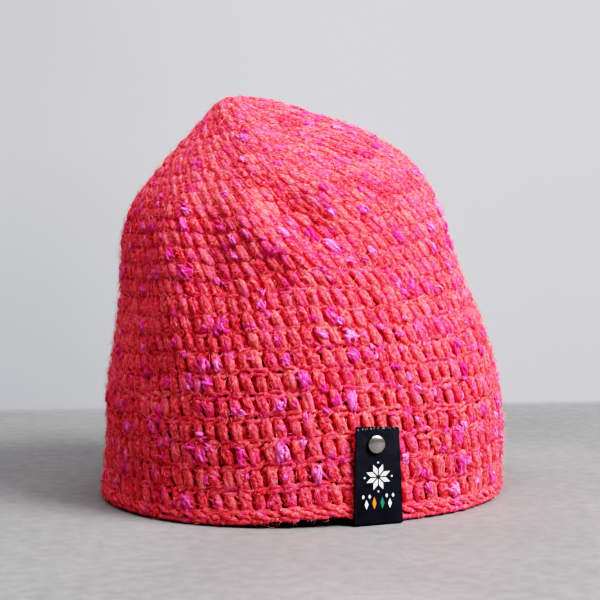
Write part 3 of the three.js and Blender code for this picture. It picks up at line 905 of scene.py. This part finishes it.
def slubMaterial():
    # carded fleece tufts: matt and pale, in magenta, pink and violet
    material, tree = newMaterial("cardedFleeceTuft")
    uv = addNode(tree, "ShaderNodeUVMap", uv_map="yarn")
    scaled = addNode(tree, "ShaderNodeMapping", {
        "Vector": (uv, 0), "Scale": (perMetre(slub["fibreLong"]), perMetre(slub["fibreWide"]), 1),
    })
    fibre = addNode(tree, "ShaderNodeTexNoise", {"Vector": (scaled, 0), "Scale": 1.0, "Detail": 2.0})
    tint = addNode(tree, "ShaderNodeAttribute", attribute_name="tint")
    tone = addNode(tree, "ShaderNodeMath", {0: (fibre, "Fac"), 1: 2.4, 2: -1.2}, operation="MULTIPLY_ADD")
    moved = addNode(tree, "ShaderNodeMath", {0: (tone, 0), 1: (tint, "Fac")}, operation="ADD")
    ramp = addNode(tree, "ShaderNodeValToRGB", {0: (moved, 0)})
    setRamp(ramp, [(0.1, linearColour(slub["magenta"])), (0.5, linearColour(slub["pink"])),
                   (0.95, linearColour(slub["violet"]))])
    bump = addNode(tree, "ShaderNodeBump", {
        "Height": (fibre, "Fac"), "Strength": 1.0, "Distance": slub["relief"] * mm,
    })
    shader = addNode(tree, "ShaderNodeBsdfPrincipled", {
        "Base Color": (ramp, 0), "Normal": (bump, 0), "Roughness": 0.8, "Specular IOR Level": 0.2,
        "Sheen Weight": 0.1,
    })
    addNode(tree, "ShaderNodeOutputMaterial", {"Surface": (shader, 0)})
    return material


def laySlubs():
    bag = yarnBag()
    t = np.linspace(-1, 1, slub["steps"])
    bend = 1 - t[None] ** 2
    for number in range(slub["count"]):
        index = int(len(stitchPlaces) * (1 - math.sqrt(dice.uniform(0.02, 1))))
        length, height, count, phase = stitchPlaces[index]
        walked, turns = roundAt(length + height * stitch["measureAt"])
        risen = length / hatLength
        grown = number < slub["count"] * slub["grownShare"] and risen < 0.6  # these swell a whole post
        aside = 0.08 if grown else 0.4
        share = (dice.integers(count) + dice.normal(0, aside) + phase) / count % 1
        turn = np.interp(share * walked[-1], walked, turns)
        up = length + height * (dice.normal(0.36, 0.05) if grown else dice.uniform(0.05, 0.95))
        size = dice.uniform(*slub["grown" if grown else "small"]) * (1.05 - 0.1 * risen)
        strands = slub["strands"] + (3 if grown else 0)
        lean = dice.normal(0.3 + 0.5 * risen, 0.15 if grown else 0.6 - 0.4 * risen)
        lean = lean + dice.normal(0, 0.4 - 0.2 * risen, strands)
        half = dice.uniform(*slub["long"], strands) * 0.5 * size * mm
        shift = dice.normal(0, 1, (strands, 2)) * (0.72 - 0.3 * risen, 0.6) * size * mm
        curl = dice.normal(0, 0.45, (strands, 2)) * size * mm
        along = t[None] * half[:, None]
        rightward = -np.sin(lean)[:, None] * along + shift[:, :1] + curl[:, :1] * bend
        upward = np.cos(lean)[:, None] * along + shift[:, 1:] + curl[:, 1:] * bend
        far = np.linalg.norm(shift, axis=1, keepdims=True) / (size * mm)
        rise = np.clip(1.1 - far, -0.3, 1.1) + dice.uniform(-0.2, 0.2, (strands, 1))
        out = slub["out"] + rise * size * 0.45 - 0.8 * (1 - bend)
        out = shaken(out, 0.2) * mm
        path, away = onHat(turn + rightward / (walked[-1] / fullTurn), up + upward, out)
        if underTab(path).any():
            continue
        radii = dice.uniform(*slub["radius"], (strands, 1)) * mm * (0.5 + 0.5 * bend) * size
        # strands that rise at a tuft's middle are tinted paler: a painted highlight, over each tuft's own
        # random tint
        tints = dice.uniform(0.05, 0.95) - 0.3 * risen + rise[:, 0] * 0.35 - 0.15
        tints = tints + dice.normal(0, 0.12, strands)
        bag.addStrands(path, away, radii, 5, tints, np.zeros(strands), rough=0.25)
    return bag.makePiece("slubs", slubMaterial())


slubPiece = laySlubs()
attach(slubPiece, "root")
report("slubs spun in")


# loose fibres: fine hairs that lie along the yarn or stand off it

fuzz = {
    "lying": 9500, "standing": 8000, "lyingLong": (2.0, 5.5), "standingLong": (0.9, 2.8),
    "radius": 0.08, "steps": 3, "curl": 0.8, "grain": 2.5, "colour": "#ec3048", "pale": "#ffacae",
}


def fuzzMaterial(name, colour, pale):
    # single wool hairs: they catch the light and read as a soft halo
    stops = [(0.35, linearColour(colour)), (0.65, linearColour(pale))]
    return mottledMaterial(name, fuzz["grain"], 2.0, stops, {"Roughness": 0.8, "Specular IOR Level": 0.05})


def hairPiece(name, roots, ways, away, lengths, material, radius, curl):
    # hairs are closed three-sided spikes that bend as they go
    n = len(roots)
    steps = fuzz["steps"]
    bend = dice.normal(0, 1, (n, 3))
    bend -= (bend * away).sum(1, keepdims=True) * away * 0.6
    t = np.linspace(0, 1, steps)
    reach = lengths[:, None, None]
    paths = (roots[:, None] + ways[:, None] * t[None, :, None] * reach
             + bend[:, None] * (t ** 2)[None, :, None] * reach * curl)
    along = unit(np.gradient(paths, axis=1))
    side = unit(np.cross(along, away[:, None] + 0.01))
    up = np.cross(side, along)
    angles = np.arange(3) / 3 * fullTurn
    slim = (radius * (1 - 0.55 * t[:-1]))[None, :, None, None]
    ring = (paths[:, :-1, None] + side[:, :-1, None] * np.cos(angles)[None, None, :, None] * slim
            + up[:, :-1, None] * np.sin(angles)[None, None, :, None] * slim)
    points = np.concatenate([ring.reshape(n, -1, 3), paths[:, -1:]], 1)
    each = points.shape[1]
    faces = [[2, 1, 0]]
    for k in range(steps - 2):
        for s in range(3):
            a, b = k * 3 + s, k * 3 + (s + 1) % 3
            faces += [[a, b, b + 3], [a, b + 3, a + 3]]
    last = (steps - 2) * 3
    faces += [[last + s, last + (s + 1) % 3, each - 1] for s in range(3)]
    faces = np.array(faces)[None] + (np.arange(n) * each)[:, None, None]
    points[..., 2] = np.maximum(points[..., 2], (0.03 + dice.uniform(0, 0.3, points.shape[:2])) * mm)
    return meshPiece(name, points.reshape(-1, 3).tolist(), faces.reshape(-1, 3).tolist(), material)


def layFuzz():
    count = fuzz["lying"] + fuzz["standing"]
    # more of them where the rounds are wide, and few at the crown's point
    level = 1 - np.sqrt(dice.uniform(0.004, 1, count))
    turn = dice.uniform(0, fullTurn, count)
    out = dice.uniform(-0.3, 0.35, count) * mm
    roots, away = onHat(turn, level * hatLength, out)
    above, _ = onHat(turn, level * hatLength + 1 * mm, out)
    upward = unit(above - roots)
    across = np.cross(upward, away)
    leaning = dice.uniform(0, 1, count) < 0.6
    swing = np.where(leaning, dice.normal(0.25, 0.45, count), dice.uniform(-1.6, 1.6, count))
    sign = np.where(dice.uniform(0, 1, count) < 0.5, -1, 1)[:, None]
    flat = (upward * np.cos(swing)[:, None] - across * np.sin(swing)[:, None]) * sign
    lying = np.arange(count) < fuzz["lying"]
    rise = np.where(lying, dice.uniform(0.02, 0.22, count), dice.uniform(0.35, 1.6, count))[:, None]
    ways = unit(flat + away * rise)
    lengths = [dice.uniform(*fuzz[name], count) * mm for name in ("lyingLong", "standingLong")]
    lengths = np.where(lying, *lengths)
    free = ~underTab(roots) & ~underTab(roots + ways * lengths[:, None])
    material = fuzzMaterial("looseWoolHair", fuzz["colour"], fuzz["pale"])
    return hairPiece("wool_fuzz", roots[free], ways[free], away[free], lengths[free], material,
                     fuzz["radius"] * mm, fuzz["curl"])


fuzzPiece = layFuzz()
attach(fuzzPiece, "root")
report("loose fibres laid")


# fleece lining: a dark brushed band inside the rim, with a fuzzy hem. Pile, hairs, rims and edges are in mm

fleece = {
    "turns": 240, "levels": 26, "pile": 0.18, "hemHairs": 2600, "hairLong": (0.8, 2.4), "hairRadius": 0.06,
    "dark": "#120a0c", "brown": "#2e181c", "grain": 1.11, "window": 0.09, "castFrom": 0.2,
    "hemRim": 0.6, "topRim": 0.8, "hemCast": 1.2, "topCast": 2.0, "hemEdge": 0.1, "topEdge": 0.2,
    "lowest": 0.02,
}


def layFleece(material):
    tree = rayMesh("fleece_lining")
    near, _ = nodeMesh("fleece_lining")
    turns = np.arange(fleece["turns"]) / fleece["turns"] * fullTurn
    nearTurns = np.arctan2(near[:, 0], -near[:, 1])
    hems = []
    tops = []
    for turn in turns:
        heights = near[turnApart(nearTurns, turn) < fleece["window"]][:, 2]
        hems.append(heights.min())
        tops.append(np.sort(heights)[-4:].min())
    hems = np.maximum(smoothLoop(hems, 3), 0)
    levels = fleece["levels"]
    rows = np.zeros((len(turns), levels * 2 + 2, 3))
    for i, turn in enumerate(turns):
        out = Vector((math.sin(turn), -math.cos(turn), 0))
        hem = hems[i] + fleece["hemRim"] * mm
        top = tops[i]
        for k in range(levels):
            z = hem + (top - fleece["topRim"] * mm - hem) * k / (levels - 1)
            high = min(max(z, hem + fleece["hemCast"] * mm), top - fleece["topCast"] * mm)
            found = castNear(tree, Vector((0, 0, high)) + out * fleece["castFrom"], -out)
            # at the rivet's hole no face is found, and the last two points stand in
            if found and found.dot(out) > hatMap["nearest"]:
                outer = found
                inside = castNear(tree, Vector((0, 0, high)), out) or inside
            rows[i, 1 + k] = (outer.x, outer.y, z)
            rows[i, 2 * levels + 1 - k] = (inside.x, inside.y, z)
        rows[i, 0] = (rows[i, 1] + rows[i, 2 * levels + 1]) / 2
        rows[i, 0, 2] = hems[i] + fleece["hemEdge"] * mm
        rows[i, levels + 1] = (rows[i, levels] + rows[i, levels + 2]) / 2
        rows[i, levels + 1, 2] = top - fleece["topEdge"] * mm
    hold = rows[:, :, 2].copy()
    for _ in range(3):
        rows = (np.roll(rows, 1, 0) + 2 * rows + np.roll(rows, -1, 0)) / 4
    rows[:, :, 2] = hold
    around = np.roll(rows, -1, 0) - np.roll(rows, 1, 0)
    upward = np.roll(rows, -1, 1) - np.roll(rows, 1, 1)
    away = np.cross(around, upward)
    away = away / (np.linalg.norm(away, axis=2, keepdims=True) + speck * mm)
    tufts = dice.uniform(-1, 1, rows.shape[:2])
    tufts = (tufts + np.roll(tufts, 1, 0) + np.roll(tufts, 1, 1)) / 1.7
    rows = rows + away * (tufts * fleece["pile"] * mm)[:, :, None]
    rows[:, :, 2] = np.maximum(rows[:, :, 2], fleece["lowest"] * mm)
    return closedRing("fleece_band", rows, material), rows, away


# brushed fleece: near black and matt, with a short woolly pile
fleeceMaterial = mottledMaterial("brushedFleece", fleece["grain"], 4.0, [
    (0.35, linearColour(fleece["dark"])), (0.68, linearColour(fleece["brown"])),
], {
    "Roughness": 0.95, "Specular IOR Level": 0.1, "Sheen Weight": 0.35, "Sheen Roughness": 0.4,
}, bump=(1.0, 0.8))
fleeceBand, fleeceRows, fleeceAway = layFleece(fleeceMaterial)
pickTurn = dice.integers(0, fleece["turns"], fleece["hemHairs"])
pickLevel = dice.integers(0, 5, fleece["hemHairs"])
hemRoots = fleeceRows[pickTurn, pickLevel]
hemAway = fleeceAway[pickTurn, pickLevel]
hemWays = hemAway + dice.normal(0, 0.6, hemRoots.shape)
hemWays[:, 2] = np.abs(hemWays[:, 2]) * 0.2
hemWays = unit(hemWays)
hemLengths = dice.uniform(*fleece["hairLong"], fleece["hemHairs"]) * mm
hemHair = hairPiece("fleece_hem_hair", hemRoots, hemWays, hemAway, hemLengths,
                    fuzzMaterial("darkFleeceHair", "#1c0e14", "#7a4650"), fleece["hairRadius"] * mm, 0.4)
for piece in (fleeceBand, hemHair):
    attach(piece, "root")
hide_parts("fleece_lining")
report("fleece lining in place")


# strap tab: black coated webbing folded under the rim, with pale fibres caught at its cut end

tab = {
    "edge": 0.28, "black": "#10111a", "blue": "#1a1c29", "roughness": 0.5,
    "pebble": 0.385, "cloud": 5.56, "relief": 0.12,
}


def strapMaterial():
    # polyurethane-coated strap: near black with a cold cast, satin, with a very fine pebbled grain
    material, tree = newMaterial("coatedStrap")
    place = addNode(tree, "ShaderNodeTexCoord")
    grain = addNode(tree, "ShaderNodeTexVoronoi", {
        "Vector": (place, "Object"), "Scale": perMetre(tab["pebble"]),
    })
    cloud = addNode(tree, "ShaderNodeTexNoise", {
        "Vector": (place, "Object"), "Scale": perMetre(tab["cloud"]), "Detail": 4.0,
    })
    ramp = addNode(tree, "ShaderNodeValToRGB", {0: (cloud, "Fac")})
    setRamp(ramp, [(0.35, linearColour(tab["black"])), (0.7, linearColour(tab["blue"]))])
    rub = addNode(tree, "ShaderNodeMapRange", {
        "Value": (cloud, "Fac"), "From Min": 0.3, "From Max": 0.7, "To Min": tab["roughness"] - 0.06,
        "To Max": tab["roughness"] + 0.1,
    })
    bump = addNode(tree, "ShaderNodeBump", {
        "Height": (grain, "Distance"), "Strength": 0.35, "Distance": tab["relief"] * mm,
    })
    shader = addNode(tree, "ShaderNodeBsdfPrincipled", {
        "Base Color": (ramp, 0), "Roughness": (rub, 0), "Normal": (bump, 0), "Specular IOR Level": 0.22,
    })
    addNode(tree, "ShaderNodeOutputMaterial", {"Surface": (shader, 0)})
    return material


strap = mergedCopy("label_tab", "strap")
strap.data.materials.clear()
strap.data.materials.append(strapMaterial())
bevel = strap.modifiers.new("softEdge", "BEVEL")
bevel.width = tab["edge"] * mm
bevel.segments = 3
bevel.angle_limit = math.radians(35)
makeActive(strap)
bpy.ops.object.modifier_apply(modifier="softEdge")
bpy.ops.object.shade_smooth_by_angle(angle=math.radians(40))
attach(strap, "root")
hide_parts("label_tab")

tabTree = rayMesh("label_tab")


def onTab(side, height, out):
    # a point on the tab's face: mm from its middle, mm above the ground, mm off the face
    start = Vector(tabSide * (tabMiddle + side * mm) + tabOut * 0.2 + np.array([0, 0, height * mm]))
    hit = tabTree.ray_cast(start, Vector(-tabOut))[0]
    return np.array(hit) + tabOut * out * mm


# print: small raised ink shapes, a knitted star over rows of diamonds, in mm on the tab's face

ink = {
    "thick": 0.07, "sunk": -0.02, "white": "#e4e3e1", "orange": "#d8842c", "green": "#1c7862", "grain": 0.556,
    "starSide": 0.2, "starHeight": 19.6, "starReach": 5.9, "petalWide": 2.0, "petalLong": 4.838, "dot": 1.0,
}


def inkMaterial(name, code):
    # screen-printed ink: opaque and matt, slightly uneven where it sits on the grain
    stops = [(0.3, linearColour(code, 0.78)), (0.55, linearColour(code))]
    return mottledMaterial(name, ink["grain"], 2.0, stops, {"Roughness": 0.6}, bump=(0.3, 0.05))


def diamond(side, height, wide, tall, turn=0.0):
    near = [(0, tall / 2), (wide / 2, 0), (0, -tall / 2), (-wide / 2, 0)]
    return [(side + x * math.cos(turn) - y * math.sin(turn), height + x * math.sin(turn) + y * math.cos(turn))
            for x, y in near]


def inkPiece(name, shapes, material):
    points = []
    faces = []
    for shape in shapes:
        start = len(points)
        n = len(shape)
        for side, height in shape:
            points.append(onTab(side, height, ink["thick"]))
        for side, height in shape:
            points.append(onTab(side, height, ink["sunk"]))
        faces.append([start + i for i in reversed(range(n))])
        faces.append([start + n + i for i in range(n)])
        faces += [[start + i, start + (i + 1) % n, start + n + (i + 1) % n, start + n + i] for i in range(n)]
    piece = meshPiece(name, [tuple(p) for p in points], faces, material, smooth=False)
    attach(piece, "root")


def aroundStar(turn, share):
    reach = ink["starReach"] * share
    return ink["starSide"] - reach * math.sin(turn), ink["starHeight"] + reach * math.cos(turn)


def starShapes():
    # eight long petals that point outwards, and four upright dots round them
    shapes = []
    for degrees in range(0, 360, 45):
        turn = math.radians(degrees + 22.5)
        shapes.append(diamond(*aroundStar(turn, 0.54), ink["petalWide"], ink["petalLong"], turn))
    for degrees in range(0, 360, 90):
        shapes.append(diamond(*aroundStar(math.radians(degrees), 1.0), ink["dot"], ink["dot"]))
    return shapes


def rowOf(height, sides, wide, tall):
    return [diamond(side, height, wide, tall) for side in sides]


whiteShapes = starShapes() + rowOf(11.8, (-6.4, -3.6, 3.8, 6.6), 1.3, 1.9) + rowOf(8.6, (-5.0, 5.2), 1.7, 4.0)
inkPiece("white_print", whiteShapes, inkMaterial("whiteInk", ink["white"]))
inkPiece("orange_print", rowOf(9.0, (-1.6,), 1.9, 5.2), inkMaterial("orangeInk", ink["orange"]))
inkPiece("green_print", rowOf(9.0, (1.9,), 1.9, 5.2), inkMaterial("greenInk", ink["green"]))


# pale wool fibres that are caught at the strap's top edge, in mm

threads = {
    "many": 13, "steps": 4, "height": 39.1, "left": -8.6, "right": 8.9, "shift": 0.9, "long": (0.7, 1.7),
}


def tabThreads():
    bag = yarnBag()
    many = threads["many"]
    t = np.linspace(0, 1, threads["steps"])
    sides = shaken(np.linspace(threads["left"], threads["right"], many), threads["shift"])
    paths = []
    for side in sides:
        root = onTab(side, threads["height"], 0.05)
        way = tabSide * dice.normal(0, 0.5) + np.array([0, 0, dice.uniform(0.3, 1.0)])
        way = unit(way + tabOut * dice.uniform(0.0, 0.6))
        paths.append(root + way * t[:, None] * dice.uniform(*threads["long"]) * mm)
    away = np.tile(tabOut, (many, threads["steps"], 1))
    radii = np.ones((many, 1)) * (1 - 0.4 * t) * 0.1 * mm
    bag.addStrands(np.array(paths), away, radii, 5, np.full(many, 0.6), np.full(many, 0.5))
    piece = bag.makePiece("caught_fibres", fuzzMaterial("palePinkHair", "#f08c98", "#ffe2dc"))
    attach(piece, "root")


tabThreads()
report("tab, print and caught fibres made")


# rivet: a domed cap spun from its outline, and its post with a flat base inside, with measures in mm. The
# cap's outline holds shares of its radius and of its height

rivet = {
    "steps": 64, "metal": "#b5aea8", "shadow": "#a29c97", "grain": 1.11, "roughness": 0.24, "rubbed": 0.04,
    "hollow": 0.8, "baseWithin": 2.5, "shaftFrom": 1.0, "baseRound": 0.3, "footBevel": 0.1, "footRound": 0.4,
    "tipRound": 0.2,
}
capOutline = [(1.0, 0.0), (1.0, 0.18), (0.985, 0.34), (0.95, 0.5), (0.88, 0.66), (0.76, 0.8), (0.6, 0.9),
              (0.4, 0.965), (0.2, 0.99), (0.0, 1.0)]

capPoints, _ = nodeMesh("rivet_cap")
capCentre = capPoints.mean(0)
_, capWays = np.linalg.eigh(np.cov((capPoints - capCentre).T))
rivetAxis = capWays[:, 0] * (1 if capWays[:, 0] @ tabOut > 0 else -1)
capCentre = (capPoints.max(0) + capPoints.min(0)) / 2


def spunPiece(name, profile, base, material):
    # the profile goes from one end on the axis to the other
    mesh = bpy.data.meshes.new(name)
    mesh.from_pydata([(r, 0, d) for r, d in profile], [(i, i + 1) for i in range(len(profile) - 1)], [])
    piece = bpy.data.objects.new(name, mesh)
    bpy.context.scene.collection.objects.link(piece)
    makeActive(piece)
    bpy.ops.object.mode_set(mode="EDIT")
    bpy.ops.mesh.select_all(action="SELECT")
    bpy.ops.mesh.spin(steps=rivet["steps"], angle=fullTurn, center=(0, 0, 0), axis=(0, 0, 1))
    bpy.ops.object.mode_set(mode="OBJECT")
    mergeDoubles(piece, 0.005)
    turnOutwards(piece)
    turn = Vector(rivetAxis).to_track_quat("Z", "Y").to_matrix().to_4x4()
    mesh.transform(Matrix.Translation(Vector(base)) @ turn)
    mesh.materials.append(material)
    bpy.ops.object.shade_smooth_by_angle(angle=math.radians(40))
    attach(piece, "root")
    return piece


def radialShape(points, centre):
    along = (points - centre) @ rivetAxis
    off = (points - centre) - along[:, None] * rivetAxis
    return along, np.linalg.norm(off, axis=1)


# satin nickel plate: a grey metal with soft reflections and fine rubbing marks
nickel = mottledMaterial("satinNickel", rivet["grain"], 3.0, [
    (0.2, linearColour(rivet["shadow"])), (0.8, linearColour(rivet["metal"])),
], {"Metallic": 1.0}, bump=(0.02, 0.02), rub=(
    rivet["roughness"] - rivet["rubbed"], rivet["roughness"] + rivet["rubbed"],
))
capAlong, capReach = radialShape(capPoints, capCentre)
capFoot = capAlong.min()
capTall = capAlong.max() - capFoot
capWide = capReach.max()
hollow = capFoot + rivet["hollow"] * mm
capProfile = [(0.0, hollow), (capWide * 0.55, hollow), (capWide * 0.6, capFoot)]
capProfile += [(capWide * r, capFoot + capTall * h) for r, h in capOutline]
capPiece = spunPiece("rivet_dome", capProfile, capCentre, nickel)
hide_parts("rivet_cap")

postPoints, _ = nodeMesh("rivet_post")
postAlong, postReach = radialShape(postPoints, capCentre)
postFoot, postTip = postAlong.min(), postAlong.max()
baseWide = postReach.max()
onBase = (postReach > baseWide * 0.98) & (postAlong < postFoot + rivet["baseWithin"] * mm)
baseTop = postAlong[onBase].max()
shaftWide = np.percentile(postReach[postAlong > baseTop + rivet["shaftFrom"] * mm], 75)
postProfile = [
    (0.0, postFoot), (baseWide * 0.8, postFoot), (baseWide * 0.95, postFoot + rivet["footBevel"] * mm),
    (baseWide, postFoot + rivet["footRound"] * mm), (baseWide, baseTop - rivet["baseRound"] * mm),
    (baseWide * 0.95, baseTop), (shaftWide * 1.2, baseTop), (shaftWide, baseTop + rivet["baseRound"] * mm),
    (shaftWide, postTip - rivet["tipRound"] * mm), (shaftWide * 0.8, postTip), (0.0, postTip),
]
postPiece = spunPiece("rivet_back", postProfile, capCentre, nickel)
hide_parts("rivet_post")
report("rivet spun")
